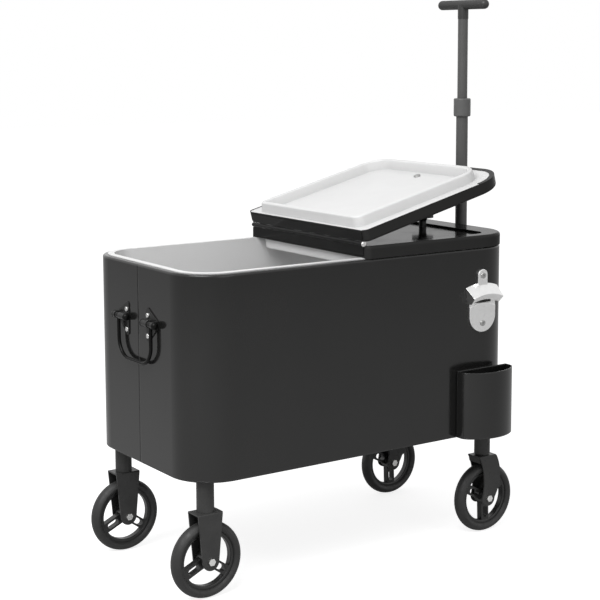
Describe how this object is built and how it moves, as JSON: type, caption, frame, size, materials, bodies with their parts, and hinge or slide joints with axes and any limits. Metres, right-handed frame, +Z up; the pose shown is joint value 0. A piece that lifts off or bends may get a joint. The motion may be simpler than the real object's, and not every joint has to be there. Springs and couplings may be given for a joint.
{
  "type": "cooler cart",
  "caption": "Long insulated tub cart on rubber wheels with two hinged half lids, one turned open, a telescopic pull handle, a bottle opener with a cap catcher and a drop handle",
  "frame": {"origin": "on the floor under the middle of the tub", "axes": "+X to the end with the pull handle, -Y to the front wall with the bottle opener, +Z up"},
  "size_m": [0.8618, 0.479, 1.1421],
  "materials": {
    "charcoal_paint": "gloss",
    "black_paint": "satin",
    "white_plastic": "satin",
    "foam": "matte",
    "black_plastic": "satin",
    "tyre_rubber": "matte",
    "soft_rubber": "matte",
    "bright_steel": "satin",
    "black_steel": "satin",
    "cast_opener": "satin"
  },
  "bodies": {
    "cart": {"shell_front": "charcoal_paint", "shell_rear": "charcoal_paint", "base_pan": "charcoal_paint", "liner": "white_plastic", "insulation": "foam", "leg_screws": "bright_steel", "fork_bolts": "bright_steel", "swivel_races": "black_steel", "set_screws": "black_steel", "fork_front_left": "black_paint", "fork_rear_left": "black_paint", "axles_left": "bright_steel", "bottle_opener": "cast_opener", "opener_screws": "bright_steel", "catcher_studs": "bright_steel", "handle_bracket_front": "black_paint", "handle_bracket_rear": "black_paint", "handle_screws": "bright_steel", "handle_pins": "black_paint", "pole_tube": "black_paint", "pole_collar": "black_plastic", "pole_clamps": "black_plastic", "clamp_screws": "bright_steel", "pole_foot": "black_plastic", "drain_spout": "black_plastic", "leg_front_left": "black_paint", "leg_rear_left": "black_paint", "leg_front_right": "black_paint", "leg_rear_right": "black_paint"},
    "lid_right": {"right_lid_pan": "charcoal_paint", "right_lid_liner": "white_plastic", "right_lid_foam": "foam", "right_lid_knob": "black_plastic", "right_lid_screw": "bright_steel", "hinge_leaf_right": "black_paint", "hinge_pin": "bright_steel"},
    "lid_left": {"left_lid_pan": "charcoal_paint", "left_lid_liner": "white_plastic", "left_lid_foam": "foam", "left_lid_knob": "black_plastic", "left_lid_screw": "bright_steel", "hinge_leaf_left": "black_paint"},
    "pull_handle": {"pole_inner": "black_paint", "pull_grip": "black_plastic"},
    "catcher_bin": {"cap_catcher": "black_paint"},
    "end_handle": {"handle_bail": "black_paint"},
    "drain_plug": {"drain_cap": "soft_rubber"},
    "swivel_front": {"fork_front_right": "black_paint", "axle_front_right": "bright_steel"},
    "swivel_rear": {"fork_rear_right": "black_paint", "axle_rear_right": "bright_steel"},
    "rolling_front_left": {"wheel_front_left": "black_plastic", "tyre_front_left": "tyre_rubber"},
    "rolling_rear_left": {"wheel_rear_left": "black_plastic", "tyre_rear_left": "tyre_rubber"},
    "rolling_front_right": {"wheel_front_right": "black_plastic", "tyre_front_right": "tyre_rubber"},
    "rolling_rear_right": {"wheel_rear_right": "black_plastic", "tyre_rear_right": "tyre_rubber"}
  },
  "joints": [
    {"name": "right_lid_hinge", "type": "hinge", "parent": "cart", "child": "lid_right", "pos_m": [0, 0, 0.656], "axis": [0, -1, 0], "range_deg": [0, 165.7]},
    {"name": "left_lid_hinge", "type": "hinge", "parent": "lid_right", "child": "lid_left", "pos_m": [0, 0, 0.656], "axis": [0, 1, 0], "range_deg": [-165.7, 0]},
    {"name": "pull_handle_slide", "type": "slide", "parent": "cart", "child": "pull_handle", "axis": [0, 0, 1], "range_m": [-0.17, 0]},
    {"name": "catcher_lift", "type": "slide", "parent": "cart", "child": "catcher_bin", "axis": [0, 0, 1], "range_m": [0, 0.012]},
    {"name": "end_handle_swing", "type": "hinge", "parent": "cart", "child": "end_handle", "pos_m": [-0.403, 0, 0.518], "axis": [0, 1, 0], "range_deg": [0, 100]},
    {"name": "drain_cap_pull", "type": "slide", "parent": "cart", "child": "drain_plug", "axis": [0, 0, -1], "range_m": [0, 0.03]},
    {"name": "front_swivel", "type": "hinge", "parent": "cart", "child": "swivel_front", "pos_m": [0.346, -0.166, 0.169], "axis": [0, 0, 1], "continuous": true},
    {"name": "rear_swivel", "type": "hinge", "parent": "cart", "child": "swivel_rear", "pos_m": [0.346, 0.166, 0.169], "axis": [0, 0, 1], "continuous": true},
    {"name": "front_left_wheel_spin", "type": "hinge", "parent": "cart", "child": "rolling_front_left", "pos_m": [-0.346, -0.166, 0.075], "axis": [0, 1, 0], "continuous": true},
    {"name": "rear_left_wheel_spin", "type": "hinge", "parent": "cart", "child": "rolling_rear_left", "pos_m": [-0.346, 0.166, 0.075], "axis": [0, 1, 0], "continuous": true},
    {"name": "front_right_wheel_spin", "type": "hinge", "parent": "swivel_front", "child": "rolling_front_right", "pos_m": [0.349, -0.166, 0.075], "axis": [0, 1, 0], "continuous": true},
    {"name": "rear_right_wheel_spin", "type": "hinge", "parent": "swivel_rear", "child": "rolling_rear_right", "pos_m": [0.349, 0.166, 0.075], "axis": [0, 1, 0], "continuous": true}
  ]
}
